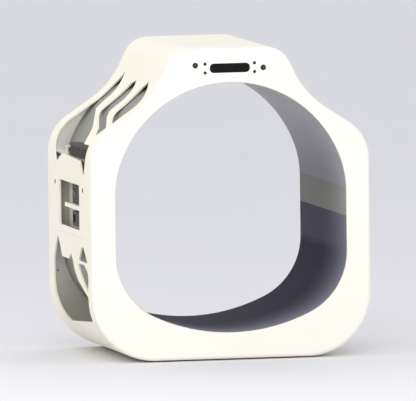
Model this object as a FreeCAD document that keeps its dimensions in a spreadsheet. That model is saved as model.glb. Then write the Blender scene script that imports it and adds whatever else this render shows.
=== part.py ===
"""A compact ring-shaped scanner that stands on the floor.

The gantry is an ivory moulded housing around a keyhole-shaped patient bore. The housing is a front cover, an outer
shell with side openings and a rear cover. Inside it two frame plates carry a drum, which holds the magnet segments,
the gradient coil and the radio coil. The left side holds the power supply and a connector plate behind a window.

X runs to the right, Y from front to back and Z up. The origin is on the floor, under the middle of the gantry.
"""

import FreeCAD, Part
import math
import os

V = FreeCAD.Vector

# Driving dimensions, in millimetres and degrees. Heights are above the underside of the housing.
DIMENSIONS = [
    ("gantry_width", 846),
    ("gantry_height", 920),
    ("gantry_depth", 600),
    ("foot_height", 4),
    ("base_corner_radius", 190),
    ("shoulder_radius", 130),
    ("shoulder_height", 582),
    ("waist_width", 465.4),
    ("waist_height", 777.8),
    ("waist_radius", 260),
    ("crown_flat", 230),
    ("crown_radius", 76),
    ("bore_width", 700),
    ("bore_side_radius", 283),
    ("bore_crown_radius", 355),
    ("bore_axis_height", 490.5),
    ("bore_corner_radius", 200),
    ("bore_corner_height", 312),
    ("bore_floor_radius", 550),
    ("skin_wall", 5),
    ("front_edge_radius", 12),
    ("rear_edge_radius", 12),
    ("bore_edge_radius", 4.5),
    ("seam_edge_radius", 1),
    ("front_cover_depth", 20),
    ("rear_cover_depth", 60),
    ("front_rim", 58),
    ("rear_rim", 78),
    ("panel_seam_height", 361),
    ("panel_gap", 0.3),
    ("liner_wall", 5),
    ("strip_bottom", 414),
    ("strip_height", 86),
    ("fit_gap", 0.3),
    ("layer_gap", 0.5),
    ("frame_wall", 8),
    ("boss_length", 23),
    ("boss_diameter", 16),
    ("screw_diameter", 5.4),
    ("screw_hole", 5.6),
    ("screw_head_diameter", 14),
    ("screw_head_height", 2.7),
    ("recess_diameter", 16),
    ("radio_former_wall", 2.5),
    ("conductor_wall", 1.2),
    ("gradient_wall", 6),
    ("magnet_wall", 16),
    ("magnet_spacer", 6),
    ("waist_spacer", 64),
    ("magnet_end_gap", 39),
    ("drum_wall", 3),
    ("drum_clearance", 3),
    ("rail_place", 374),
    ("rail_width", 34),
    ("rail_wall", 4),
    ("rail_height", 584),
    ("supply_length", 290),
    ("supply_place", 85),
    ("supply_width", 28),
    ("supply_height", 40),
    ("window_length", 265),
    ("window_height", 134),
    ("window_bottom", 380),
    ("window_inset", 112),
    ("window_tab_height", 12),
    ("window_tab_reach", 194),
    ("window_tab_drop", 2.5),
    ("plate_wall", 2.5),
    ("plate_recess", 24),
    ("inlet_length", 124),
    ("inlet_height", 56),
    ("data_height", 44),
    ("socket_depth", 16),
    ("rocker_width", 15.4),
    ("rocker_tilt", 8),
    ("rocker_pin", 3),
    ("rocker_pin_hole", 3.2),
    ("side_screw_height", 502),
    ("side_screw_front", 47.5),
    ("side_screw_rear", 59.6),
    ("aperture_length", 122),
    ("aperture_height", 28),
    ("aperture_centre", 862.5),
    ("aperture_screw_span", 150),
    ("aperture_screw_rise", 26),
    ("small_screw_diameter", 3.9),
    ("small_screw_hole", 4.1),
    ("small_head_diameter", 9.6),
    ("small_head_hole", 10),
    ("button_diameter", 16.8),
    ("button_guide", 17),
    ("button_hole", 17.4),
    ("left_button_place", 104.6),
    ("left_button_height", 872),
    ("right_button_place", 101.6),
    ("right_button_height", 861),
    ("fan_side", 50),
    ("fan_depth", 18),
    ("fan_place", 46),
    ("fan_height", 888),
    ("fan_bore", 46),
    ("rotor_diameter", 44),
    ("spindle_diameter", 3),
    ("spindle_hole", 3.2),
    ("tray_height", 866),
    ("tray_wall", 2),
    ("board_length", 380),
    ("board_width", 170),
    ("board_wall", 1.6),
    ("standoff_height", 8),
    ("foot_diameter", 60),
    ("foot_place", 190),
    ("foot_inset", 60),
]

MAGNETS = 10
RUNGS = 16
FAN_BLADES = 7
GRILLE_SLOTS = 5

doc = FreeCAD.newDocument("ring_scanner")
sheet = doc.addObject("Spreadsheet::Sheet", "dims")
for row, (alias, value) in enumerate(DIMENSIONS, 1):
    sheet.set(f"A{row}", alias)
    sheet.set(f"B{row}", str(value))
    sheet.setAlias(f"B{row}", alias)
doc.recompute()
PARTS = []


def size(alias):
    """A driving dimension, read from the sheet."""
    return float(getattr(sheet, alias))


def bind(thing, **expressions):
    """Binds properties of an object to expressions on the sheet; a double underscore in a name stands for a dot."""
    for name, text in expressions.items():
        words = [f"dims.{word}" if word in ALIASES else word for word in text.split()]
        thing.setExpression(name.replace("__", "."), " ".join(words))


ALIASES = {alias for alias, value in DIMENSIONS}
HALF_DEPTH = size("gantry_depth") / 2
BASE = size("foot_height")


# Outlines. A loop is a list of lines and arcs in the plane of X and Z, or of Y and Z, run anticlockwise.

def line(p, q):
    return ("line", p, q)


def arc(centre, radius, start, end):
    return ("arc", centre, radius, start, end)


def rounded(corners):
    """A closed loop through corners (x, z, radius), each rounded by its radius or by what its sides allow."""
    count = len(corners)
    tangents = []
    for i, (x, z, radius) in enumerate(corners):
        before = FreeCAD.Vector(*corners[i - 1][:2], 0) - V(x, z, 0)
        after = FreeCAD.Vector(*corners[(i + 1) % count][:2], 0) - V(x, z, 0)
        turn = before.getAngle(after)
        reach = min(radius / math.tan(turn / 2), 0.48 * before.Length, 0.48 * after.Length)
        tangents.append((before.normalize(), after.normalize(), turn, reach))
    loop = []
    for i, (x, z, radius) in enumerate(corners):
        before, after, turn, reach = tangents[i]
        corner = V(x, z, 0)
        start = corner + before * reach
        end = corner + after * reach
        centre = corner + (before + after).normalize() * (reach / math.cos(turn / 2))
        first = math.atan2(start.y - centre.y, start.x - centre.x)
        last = math.atan2(end.y - centre.y, end.x - centre.x)
        if (before.cross(after)).z > 0:
            first, last = last, first
        if last < first:
            last += 2 * math.pi
        loop.append(arc((centre.x, centre.y), (start - centre).Length, first, last))
        following = corners[(i + 1) % count]
        next_start = V(*following[:2], 0) + tangents[(i + 1) % count][0] * tangents[(i + 1) % count][3]
        if (next_start - end).Length > 1e-6:
            loop.append(line((end.x, end.y), (next_start.x, next_start.y)))
    return loop


def tangent_angle(point, centre, radius):
    """The angle, from a circle's centre, at which the tangent from an outside point touches its outer side."""
    away = V(point[0] - centre[0], point[1] - centre[1], 0)
    return math.atan2(away.y, away.x), math.acos(radius / away.Length)


def outline(inset=0.0):
    """The outer outline of the gantry, moved inwards by inset."""
    half = size("gantry_width") / 2
    base_radius = size("base_corner_radius")
    base_centre = (half - base_radius, base_radius)
    shoulder = (half - size("shoulder_radius"), size("shoulder_height"))
    crown = (size("crown_flat") / 2, size("gantry_height") - size("crown_radius"))
    waist = (size("waist_width") / 2, size("waist_height"))
    away, spread = tangent_angle(waist, shoulder, size("shoulder_radius"))
    shoulder_end = away - spread
    away, spread = tangent_angle(waist, crown, size("crown_radius"))
    crown_start = away + spread
    slope = V(math.sin(shoulder_end), -math.cos(shoulder_end), 0)
    steep = V(-math.sin(crown_start), math.cos(crown_start), 0)
    between = math.pi - slope.getAngle(steep)
    reach = size("waist_radius") * math.tan(between / 2)
    waist_centre = V(*waist, 0) + slope * reach + V(math.cos(shoulder_end), math.sin(shoulder_end), 0) * size(
        "waist_radius"
    )
    right = [
        (base_centre, base_radius - inset, -math.pi / 2, 0.0),
        (shoulder, size("shoulder_radius") - inset, 0.0, shoulder_end),
        ((waist_centre.x, waist_centre.y), size("waist_radius") + inset, crown_start + math.pi, shoulder_end + math.pi),
        (crown, size("crown_radius") - inset, crown_start, math.pi / 2),
    ]

    def end_points(piece, hollow):
        centre, radius, start, end = piece
        points = [
            (centre[0] + radius * math.cos(a), centre[1] + radius * math.sin(a)) for a in (start, end)
        ]
        return points[::-1] if hollow else points

    loop = []
    ends = [end_points(piece, index == 2) for index, piece in enumerate(right)]
    for index, piece in enumerate(right):
        loop.append(arc(*piece))
        if index < 3:
            loop.append(line(ends[index][1], ends[index + 1][0]))
    top = ends[3][1]
    bottom = ends[0][0]
    mirrored = [mirror(piece) for piece in loop]
    return loop + [line(top, (-top[0], top[1]))] + mirrored[::-1] + [line((-bottom[0], bottom[1]), bottom)]


def mirror(piece):
    """The mirror image of a line or an arc in the plane X = 0."""
    if piece[0] == "line":
        return line((-piece[2][0], piece[2][1]), (-piece[1][0], piece[1][1]))
    kind, centre, radius, start, end = piece
    return arc((-centre[0], centre[1]), radius, math.pi - end, math.pi - start)


def bore(offset=0.0):
    """The outline of the patient bore, moved outwards by offset."""
    half = size("bore_width") / 2
    side_radius = size("bore_side_radius")
    axis = size("bore_axis_height")
    crown_radius = size("bore_crown_radius")
    corner_radius = size("bore_corner_radius")
    corner = size("bore_corner_height")
    floor_radius = size("bore_floor_radius")
    side_x = half - side_radius
    corner_x = half - corner_radius
    crown_z = axis - math.sqrt((crown_radius - side_radius) ** 2 - side_x ** 2)
    floor_z = corner + math.sqrt((floor_radius - corner_radius) ** 2 - corner_x ** 2)
    upper = math.atan2(axis - crown_z, side_x)
    lower = math.atan2(floor_z - corner, corner_x)
    right = [
        arc((corner_x, corner), corner_radius + offset, -lower, 0.0),
        line((half + offset, corner), (half + offset, axis)),
        arc((side_x, axis), side_radius + offset, 0.0, upper),
    ]
    crown = arc((0.0, crown_z), crown_radius + offset, upper, math.pi - upper)
    floor = arc((0.0, floor_z), floor_radius + offset, math.pi + lower, 2 * math.pi - lower)
    return right + [crown] + [mirror(piece) for piece in right[::-1]] + [floor]


def bore_top():
    """The height of the top of the bore."""
    side_x = size("bore_width") / 2 - size("bore_side_radius")
    rise = size("bore_crown_radius") - size("bore_side_radius")
    return size("bore_axis_height") - math.sqrt(rise ** 2 - side_x ** 2) + size("bore_crown_radius")


def bore_bottom():
    """The height of the bottom of the bore."""
    corner_x = size("bore_width") / 2 - size("bore_corner_radius")
    drop = size("bore_floor_radius") - size("bore_corner_radius")
    return size("bore_corner_height") + math.sqrt(drop ** 2 - corner_x ** 2) - size("bore_floor_radius")


def circle(x, z, diameter):
    return [arc((x, z), diameter / 2, 0.0, 2 * math.pi)]


def rectangle(x0, z0, x1, z1, radius=0.0):
    corners = [(x0, z0), (x1, z0), (x1, z1), (x0, z1)]
    if radius:
        return rounded([(x, z, radius) for x, z in corners])
    return [line(corners[i], corners[(i + 1) % 4]) for i in range(4)]


def geometry(piece, rise=0.0):
    """The Part curve of a line or an arc, raised by rise."""
    if piece[0] == "line":
        return Part.LineSegment(V(piece[1][0], piece[1][1] + rise, 0), V(piece[2][0], piece[2][1] + rise, 0))
    kind, centre, radius, start, end = piece
    round_line = Part.Circle(V(centre[0], centre[1] + rise, 0), V(0, 0, 1), radius)
    if end - start > 2 * math.pi - 1e-9:
        return round_line
    return Part.ArcOfCircle(round_line, start, end)


# Building helpers.

def add_sketch(body, role, loops, place=None):
    """A sketch on one of the body's own planes, XZ_Plane or YZ_Plane, moved along its normal by an expression."""
    sketch = body.newObject("Sketcher::SketchObject", body.Name + "_sketch")
    plane = next(feature for feature in body.Origin.OriginFeatures if feature.Role == role)
    sketch.AttachmentSupport = (plane, [""])
    sketch.MapMode = "FlatFace"
    if place:
        bind(sketch, AttachmentOffset__Base__z=place)
    for loop in loops:
        for piece in loop:
            sketch.addGeometry(geometry(piece, BASE), False)
    return sketch


def pad(body, role, loops, length, place=None):
    """Pads loops from their sketch, along the plane's normal: towards the front for XZ_Plane."""
    feature = body.newObject("PartDesign::Pad", body.Name + "_pad")
    feature.Profile = add_sketch(body, role, loops, place)
    bind(feature, Length=length)
    body.Tip = feature
    doc.recompute()
    return feature


def pocket(body, role, loops, length=None, place=None, flip=False):
    """Cuts loops against the plane's normal, or along it when flipped, for a length or right through."""
    before = body.Shape.Volume
    feature = body.newObject("PartDesign::Pocket", body.Name + "_pocket")
    feature.Profile = add_sketch(body, role, loops, place)
    feature.Reversed = flip
    if length:
        bind(feature, Length=length)
    else:
        feature.Type = "ThroughAll"
    body.Tip = feature
    doc.recompute()
    if not body.Shape.Volume < before - 1e-3:
        raise ValueError(f"{feature.Name} of {body.Label} cuts nothing")
    return feature


def round_edges(body, radius, chosen):
    """Rounds the edges of the body that pass the test."""
    base = body.Tip
    names = [f"Edge{n}" for n, edge in enumerate(base.Shape.Edges, 1) if chosen(edge)]
    feature = body.newObject("PartDesign::Fillet", body.Name + "_fillet")
    feature.Base = (base, names)
    bind(feature, Radius=radius)
    body.Tip = feature
    doc.recompute()
    return feature


def new_body(label):
    body = doc.addObject("PartDesign::Body", label)
    body.Label = label
    PARTS.append(body)
    return body


def keep(thing, label):
    thing.Label = label
    PARTS.append(thing)
    return thing


def shape_part(label, shape):
    """A sub-part whose shape is made by Part's own functions."""
    feature = doc.addObject("Part::Feature", label)
    feature.Shape = shape
    return keep(feature, label)


def rod(x, z, y0, y1, diameter):
    """A round solid along Y, from y0 to y1, with its centre at a height above the underside of the housing."""
    return Part.makeCylinder(diameter / 2, y1 - y0, V(x, y0, z + BASE), V(0, 1, 0))


def block(x0, x1, y0, y1, z0, z1):
    """A plain block between two corners, with heights above the underside of the housing."""
    return Part.makeBox(x1 - x0, y1 - y0, z1 - z0, V(x0, y0, z0 + BASE))


def prism(loop, y0, y1):
    """A solid along Y whose section is a loop."""
    flat = Part.Face(Part.Wire([geometry(piece).toShape() for piece in loop]))
    flat.rotate(V(0, 0, 0), V(1, 0, 0), 90)
    flat.translate(V(0, y1, BASE))
    return flat.extrude(V(0, y0 - y1, 0))


def ring(inner, outer, y0, y1):
    """A tube along Y whose section lies between two loops."""
    return prism(outer, y0, y1).cut(prism(inner, y0, y1))


def lengths_of(loop):
    return [
        math.dist(piece[1], piece[2]) if piece[0] == "line" else piece[2] * (piece[4] - piece[3]) for piece in loop
    ]


def station(loop, share):
    """The point at a share of a loop's length, with the direction that points outwards there."""
    lengths = lengths_of(loop)
    left = share * sum(lengths)
    for piece, length in zip(loop, lengths):
        if left <= length:
            break
        left -= length
    if piece[0] == "line":
        (x0, z0), (x1, z1) = piece[1:]
        part = left / length
        return (x0 + (x1 - x0) * part, z0 + (z1 - z0) * part), math.atan2(z1 - z0, x1 - x0) - math.pi / 2
    kind, centre, radius, start, end = piece
    angle = start + left / radius
    return (centre[0] + radius * math.cos(angle), centre[1] + radius * math.sin(angle)), angle


def radial_slab(loop, share, width, reach, y0, y1):
    """A slab that crosses a loop squarely, width wide along it and reach to each side."""
    (x, z), angle = station(loop, share)
    slab = Part.makeBox(2 * reach, y1 - y0, width, V(-reach, y0, -width / 2))
    slab.rotate(V(0, 0, 0), V(0, 1, 0), -math.degrees(angle))
    slab.translate(V(x, 0, z + BASE))
    return slab


# Places along the depth, and the places of the fixing screws that the two covers share.

FRONT = -HALF_DEPTH
REAR = HALF_DEPTH
FRONT_SEAM = FRONT + size("front_cover_depth")
REAR_SEAM = REAR - size("rear_cover_depth")
FRONT_FRAME = FRONT + size("skin_wall") + size("boss_length")
REAR_FRAME = REAR - size("skin_wall") - size("boss_length")
DRUM_FRONT = FRONT_FRAME + size("frame_wall")
DRUM_REAR = REAR_FRAME - size("frame_wall")
DRUM_OFFSET = (
    size("liner_wall") + size("layer_gap") + size("radio_former_wall") + size("fit_gap") + size("conductor_wall")
    + size("layer_gap") + size("gradient_wall") + size("layer_gap") + size("magnet_wall") + size("layer_gap")
)
DRUM_INSET = size("skin_wall") + size("drum_clearance")
SIDE_GAP_CENTRE = (size("gantry_width") / 2 - size("skin_wall") + size("bore_width") / 2 + DRUM_OFFSET
                   + size("drum_wall")) / 2
BASE_GAP_CENTRE = (size("skin_wall") + bore_bottom() - DRUM_OFFSET - size("drum_wall")) / 2
COVER_SCREWS = [
    (side * x, z)
    for side in (-1, 1)
    for x, z in (
        (SIDE_GAP_CENTRE, 230),
        (SIDE_GAP_CENTRE, 520),
        (150, BASE_GAP_CENTRE + 4),
        (150, size("gantry_height") - 60),
    )
]
FAN_CENTRES = [(side * size("fan_place"), size("fan_height")) for side in (-1, 1)]


def boss_loops(diameter):
    return [circle(x, z, size(diameter)) for x, z in COVER_SCREWS]


def at_face(edge, y):
    return all(abs(vertex.Y - y) < 1e-3 for vertex in edge.Vertexes)


# The housing.

def make_front_cover():
    body = new_body("front_cover")
    pad(body, "XZ_Plane", [outline(), bore()], "front_cover_depth", "gantry_depth / 2 - front_cover_depth")
    round_edges(body, "front_edge_radius", lambda edge: at_face(edge, FRONT) and on_loop(edge, outline()))
    round_edges(body, "bore_edge_radius", lambda edge: at_face(edge, FRONT) and on_loop(edge, bore()))
    round_edges(body, "seam_edge_radius", lambda edge: at_face(edge, FRONT_SEAM) and on_loop(edge, outline()))
    pocket(body, "XZ_Plane", [outline(size("skin_wall"))], "front_cover_depth - skin_wall",
           "gantry_depth / 2 - front_cover_depth", flip=True)
    pad(body, "XZ_Plane", boss_loops("boss_diameter"), "boss_length",
        "gantry_depth / 2 - skin_wall - boss_length")
    pocket(body, "XZ_Plane", boss_loops("screw_hole"), "boss_length - skin_wall",
           "gantry_depth / 2 - skin_wall - boss_length", flip=True)
    half = size("aperture_length") / 2
    rise = size("aperture_height") / 2
    centre = size("aperture_centre")
    holes = [rectangle(-half, centre - rise, half, centre + rise, 0.9 * rise)]
    holes += [circle(x, z, size("small_head_hole")) for x, z in aperture_screws()]
    holes += [circle(x, z, size("button_hole")) for x, z in button_places()]
    pocket(body, "XZ_Plane", holes, flip=True)


def on_loop(edge, loop):
    """True when both ends of an edge lie on a loop of the plane of X and Z."""
    wire = Part.Wire([geometry(piece, BASE).toShape() for piece in loop])
    return all(wire.distToShape(Part.Vertex(p.X, p.Z, 0))[0] < 1e-3 for p in edge.Vertexes)


def aperture_screws():
    across = size("aperture_screw_span") / 2
    rise = size("aperture_screw_rise") / 2
    return [(x, size("aperture_centre") + z) for x in (-across, across) for z in (-rise, rise)]


def button_places():
    return [
        (-size("left_button_place"), size("left_button_height")),
        (size("right_button_place"), size("right_button_height")),
    ]


def make_rear_cover():
    body = new_body("rear_cover")
    pad(body, "XZ_Plane", [outline(), bore()], "rear_cover_depth", "0 - gantry_depth / 2")
    round_edges(body, "rear_edge_radius", lambda edge: at_face(edge, REAR) and on_loop(edge, outline()))
    round_edges(body, "bore_edge_radius", lambda edge: at_face(edge, REAR) and on_loop(edge, bore()))
    round_edges(body, "seam_edge_radius", lambda edge: at_face(edge, REAR_SEAM) and on_loop(edge, outline()))
    pocket(body, "XZ_Plane", [outline(size("skin_wall"))], "rear_cover_depth - skin_wall",
           "rear_cover_depth - gantry_depth / 2")
    pad(body, "XZ_Plane", boss_loops("boss_diameter"), "boss_length", "skin_wall - gantry_depth / 2")
    pocket(body, "XZ_Plane", boss_loops("screw_hole"))
    pocket(body, "XZ_Plane", boss_loops("recess_diameter"), "screw_head_height + fit_gap",
           "0 - gantry_depth / 2", flip=True)
    pocket(body, "XZ_Plane", [slot for x, z in FAN_CENTRES for slot in grille(x, z)])


def grille(x, z):
    """Level air slots in front of a fan."""
    pitch = size("fan_side") / (GRILLE_SLOTS + 1)
    slots = []
    for n in range(GRILLE_SLOTS):
        middle = z + (n - (GRILLE_SLOTS - 1) / 2) * pitch
        half = size("fan_side") * 0.44
        slots.append(rectangle(x - half, middle - 0.25 * pitch, x + half, middle + 0.25 * pitch, 0.2 * pitch))
    return slots


def side(u, z):
    """A point of the left side: u runs along the side opening from its front edge at 0 to its rear edge at 1."""
    length = size("gantry_depth") - size("front_rim") - size("rear_rim")
    return FRONT + size("front_rim") + u * length, z


def side_loop(*corners):
    return rounded([(*side(u, z), radius) for u, z, radius in corners])


def upper_openings():
    """Three gills that start as points on the steep shoulder, widen and sweep down towards the front rim.

    The rear one grows into the open upper half of the side, with a horn at each end of the panel below it.
    """
    rear = side_loop(
        (0.892, 827, 5), (0.818, 778, 40), (0.816, 745, 30), (0.757, 724, 40), (0.284, 684, 120),
        (0.207, 664, 40), (0.198, 638, 6), (0.052, 639, 5), (0.057, 597, 8), (0.097, 550, 3),
        (0.140, 549, 3), (0.218, 588, 8), (0.397, 590, 90), (0.719, 593, 40), (0.806, 581, 8),
        (0.860, 569, 4), (0.920, 568, 6), (1.000, 625, 70), (1.000, 770, 60),
    )
    middle = side_loop(
        (0.496, 813, 6), (0.442, 793, 40), (0.425, 765, 60), (0.427, 738, 30), (0.392, 725, 30),
        (0.289, 713, 60), (0.101, 698.5, 200), (0.002, 690.5, 4), (0.002, 683, 4), (0.060, 661, 4),
        (0.190, 684, 60), (0.502, 706, 200), (0.629, 718, 16), (0.653, 738, 30), (0.629, 768, 60),
        (0.582, 799, 20),
    )
    front = side_loop(
        (0.177, 819, 5), (0.080, 793, 60), (0.017, 768, 40), (0.013, 735, 30), (0.000, 712, 8),
        (-0.013, 698.5, 3), (0.112, 705.5, 60), (0.220, 715.5, 14), (0.291, 727, 20), (0.297, 762, 40),
        (0.250, 795, 40),
    )
    return [rear, middle, front]


def lower_openings():
    """The open lower half of the side, and two small openings parted from it by a rib that sweeps to the front rim."""
    main = side_loop(
        (0.896, 341, 5), (0.862, 341, 4), (0.757, 286, 6), (0.568, 285, 6), (0.502, 304, 6), (0.442, 284, 8),
        (0.397, 258, 60), (0.303, 232, 120), (0.114, 204, 90), (0.000, 189, 10), (0.022, 116, 8),
        (0.849, 89, 85), (1.000, 190, 120), (1.000, 275, 50),
    )
    small_upper = side_loop(
        (0.188, 333, 3), (0.136, 333, 3), (0.019, 290, 3), (0.276, 290, 3),
    )
    small_lower = side_loop(
        (0.112, 282, 20), (0.013, 262, 30), (-0.002, 240, 30), (0.013, 203, 4), (0.190, 243, 200),
        (0.312, 281, 6),
    )
    return [main, small_upper, small_lower]


def window():
    """The window of the side panel, with a level tab that reaches in from its front edge."""
    front = FRONT + size("front_rim") + size("window_inset")
    rear = front + size("window_length")
    bottom = size("window_bottom")
    top = bottom + size("window_height")
    tab = (bottom + top - size("window_tab_height")) / 2 - size("window_tab_drop")
    reach = front + size("window_tab_reach")
    return rounded([
        (front, bottom, 8), (rear, bottom, 8), (rear, top, 8), (front, top, 8),
        (front, tab + size("window_tab_height"), 2), (reach, tab + size("window_tab_height"), 3),
        (reach, tab, 3), (front, tab, 2),
    ])


def side_screws():
    """The two screws that hold the connector plate to the side panel, one to each side of the window."""
    front = FRONT + size("front_rim") + size("window_inset")
    rear = front + size("window_length")
    return [(y, size("side_screw_height")) for y in (front - size("side_screw_front"), rear + size("side_screw_rear"))]


def make_panel(label, cuts, openings, recesses):
    """A panel of the outer shell: the whole shell less the rectangles given, which are places in front view."""
    body = new_body(label)
    pad(body, "XZ_Plane", [outline(), outline(size("skin_wall"))],
        "gantry_depth - front_cover_depth - rear_cover_depth", "rear_cover_depth - gantry_depth / 2")
    round_edges(body, "seam_edge_radius", lambda edge: on_loop(edge, outline()) and (
        at_face(edge, FRONT_SEAM) or at_face(edge, REAR_SEAM)))
    for x0, z0, x1, z1 in cuts:
        pocket(body, "XZ_Plane", [rectangle(x0, z0, x1, z1)], "gantry_depth", "gantry_depth / 2")
    if openings:
        pocket(body, "YZ_Plane", openings)
    if recesses:
        pocket(body, "YZ_Plane", recesses, "screw_head_height + fit_gap", "0 - gantry_width / 2", flip=True)


def make_outer_shell():
    """Four panels, parted by level seams along both sides and by a seam over the crown and under the base."""
    wide = size("gantry_width")
    tall = size("gantry_height")
    seam = size("panel_seam_height")
    half_gap = size("panel_gap") / 2
    above = (-wide, seam - half_gap, wide, 2 * tall)
    below = (-wide, -tall, wide, seam + half_gap)
    right_of_middle = (-half_gap, -tall, wide, 2 * tall)
    left_of_middle = (-wide, -tall, half_gap, 2 * tall)
    screw_holes = [circle(y, z, size("screw_hole")) for y, z in side_screws()]
    recesses = [circle(y, z, size("recess_diameter")) for y, z in side_screws()]
    make_panel("left_lower_panel", [above, right_of_middle], lower_openings(), [])
    make_panel("left_upper_panel", [below, right_of_middle], upper_openings() + [window()] + screw_holes, recesses)
    make_panel("right_lower_panel", [above, left_of_middle], [], [])
    make_panel("right_upper_panel", [below, left_of_middle], [], [])


# The lining of the bore.

def make_liner(label, cuts):
    """A piece of the bore's lining: the whole ring less the rectangles given."""
    body = new_body(label)
    pad(body, "XZ_Plane", [bore(size("liner_wall")), bore()], "gantry_depth - 2 * skin_wall",
        "skin_wall - gantry_depth / 2")
    for x0, z0, x1, z1 in cuts:
        pocket(body, "XZ_Plane", [rectangle(x0, z0, x1, z1)], "gantry_depth", "gantry_depth / 2")


def make_lining():
    wide = size("gantry_width")
    tall = size("gantry_height")
    bottom = size("strip_bottom")
    top = bottom + size("strip_height")
    make_liner("bore_liner_upper", [(-wide, -tall, wide, top)])
    make_liner("bore_liner_lower", [(-wide, bottom, wide, 2 * tall)])
    ends = [(-wide, -tall, wide, bottom), (-wide, top, wide, 2 * tall)]
    make_liner("bore_strip_left", ends + [(0, -tall, wide, 2 * tall)])
    make_liner("bore_strip_right", ends + [(-wide, -tall, 0, 2 * tall)])


# The frames, the drum and what the drum holds.

def make_frame(label, place, holes):
    body = new_body(label)
    gap = size("skin_wall") + size("fit_gap")
    loops = [outline(gap), bore(size("liner_wall") + size("fit_gap"))] + boss_loops("screw_hole")
    pad(body, "XZ_Plane", loops + holes, "frame_wall", place)


def make_drum_contents():
    """The radio coil, the gradient coil and the magnet, layer on layer outside the bore's lining."""
    inner = size("liner_wall") + size("layer_gap")
    front = DRUM_FRONT + 30
    rear = DRUM_REAR - 30
    shape_part("radio_coil_former", ring(bore(inner), bore(inner + size("radio_former_wall")), front, rear))
    inner += size("radio_former_wall") + size("fit_gap")
    conductors = ring(bore(inner), bore(inner + size("conductor_wall")), front + 20, rear - 20)
    middle = bore(inner)
    window_width = 0.6 * sum(lengths_of(middle)) / RUNGS
    windows = [
        radial_slab(middle, (n + 0.5) / RUNGS, window_width, 25, front + 50, rear - 50) for n in range(RUNGS)
    ]
    shape_part("radio_coil_conductors", conductors.cut(windows))
    inner += size("conductor_wall") + size("layer_gap")
    shape_part("gradient_coil", ring(bore(inner), bore(inner + size("gradient_wall")), front - 10, rear + 10))
    inner += size("gradient_wall") + size("layer_gap")
    ends = (DRUM_FRONT + size("magnet_end_gap"), DRUM_REAR - size("magnet_end_gap"))
    magnet = ring(bore(inner), bore(inner + size("magnet_wall")), *ends)
    magnet = magnet.common(prism(outline(DRUM_INSET + size("drum_wall") + size("layer_gap")), *ends))
    middle = bore(inner + size("magnet_wall") / 2)
    lengths = lengths_of(middle)
    top = (sum(lengths[:3]) + lengths[3] / 2) / sum(lengths)
    spacers = []
    for n in range(MAGNETS):
        width = size("waist_spacer" if n in (1, MAGNETS - 1) else "magnet_spacer")
        spacers.append(radial_slab(middle, (top + n / MAGNETS) % 1, width, 40, *ends))
    segments = magnet.cut(spacers).Solids
    centre = BASE + size("bore_axis_height")
    segments.sort(key=lambda solid: math.atan2(solid.CenterOfMass.z - centre, solid.CenterOfMass.x))
    for number, segment in enumerate(segments, 1):
        shape_part(f"magnet_segment_{number:02d}", segment)


def make_core():
    make_frame("front_frame", "gantry_depth / 2 - skin_wall - boss_length - frame_wall", [])
    fans = [circle(x, z, size("fan_bore")) for x, z in FAN_CENTRES]
    make_frame("rear_frame", "skin_wall + boss_length - gantry_depth / 2", fans)
    ends = (DRUM_FRONT, DRUM_REAR)
    wall = size("drum_wall")
    outside, inside = (
        prism(bore(DRUM_OFFSET + grow), *ends).common(prism(outline(DRUM_INSET + wall - grow), *ends))
        for grow in (wall, 0)
    )
    shape_part("magnet_drum", outside.cut(inside))
    make_drum_contents()


# Fasteners.

def screw(x, z, head_face, tip, head, height, shank):
    """A socket screw along Y: its head starts at head_face and its shank ends at tip, to the front or the rear."""
    way = 1 if tip > head_face else -1
    neck = head_face + way * height
    body = rod(x, z, min(head_face, neck), max(head_face, neck), head)
    body = body.fuse(rod(x, z, min(neck, tip), max(neck, tip), shank))
    socket = Part.Face(Part.makePolygon([
        V(x + 0.28 * head * math.cos(math.radians(60 * n)), head_face, z + BASE + 0.28 * head * math.sin(
            math.radians(60 * n))) for n in range(7)
    ])).extrude(V(0, way * 0.6 * height, 0))
    return body.cut(socket).removeSplitter()


def make_fasteners():
    head = size("screw_head_diameter")
    height = size("screw_head_height")
    shank = size("screw_diameter")
    shape_part("rear_cover_screws", Part.makeCompound([
        screw(x, z, REAR - size("fit_gap"), REAR_FRAME - size("frame_wall"), head, height, shank)
        for x, z in COVER_SCREWS
    ]))
    shape_part("front_cover_screws", Part.makeCompound([
        screw(x, z, DRUM_FRONT + height, FRONT + 2 * size("skin_wall"), head, height, shank)
        for x, z in COVER_SCREWS
    ]))


def side_screw(y, z):
    """A screw along X, with its head sunk into the left side and its shank in the plate behind it."""
    left = -size("gantry_width") / 2 + size("fit_gap")
    way = V(1, 0, 0)
    head = Part.makeCylinder(size("screw_head_diameter") / 2, size("screw_head_height"), V(left, y, z + BASE), way)
    shank = Part.makeCylinder(size("screw_diameter") / 2, 11, V(left, y, z + BASE), way)
    slot = Part.makeBox(1.2, 2, 2 * size("screw_head_diameter"), V(left, y - 1, z + BASE - size("screw_head_diameter")))
    return head.fuse(shank).cut(slot).removeSplitter()


# The feet.

def make_feet():
    """Four flat rubber pads under the flat of the housing."""
    for name, x, y in (
        ("foot_front_left", -1, -1), ("foot_front_right", 1, -1), ("foot_rear_left", -1, 1), ("foot_rear_right", 1, 1),
    ):
        foot = doc.addObject("Part::Cylinder", name)
        bind(foot, Radius="foot_diameter / 2", Height="foot_height",
             Placement__Base__x=f"{x} * foot_place",
             Placement__Base__y=f"{y} * ( gantry_depth / 2 - foot_inset )")
        keep(foot, name)


# The equipment in the two shoulders.

def make_rail(label, left):
    """A flat rail that runs from frame to frame and carries a module."""
    rail = doc.addObject("Part::Box", label)
    bind(rail, Length="rail_width", Width="gantry_depth - 2 * skin_wall - 2 * boss_length - 2 * frame_wall",
         Height="rail_wall", Placement__Base__x="0 - rail_place - rail_width" if left else "rail_place",
         Placement__Base__y="skin_wall + boss_length + frame_wall - gantry_depth / 2",
         Placement__Base__z="foot_height + rail_height")
    keep(rail, label)


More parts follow.
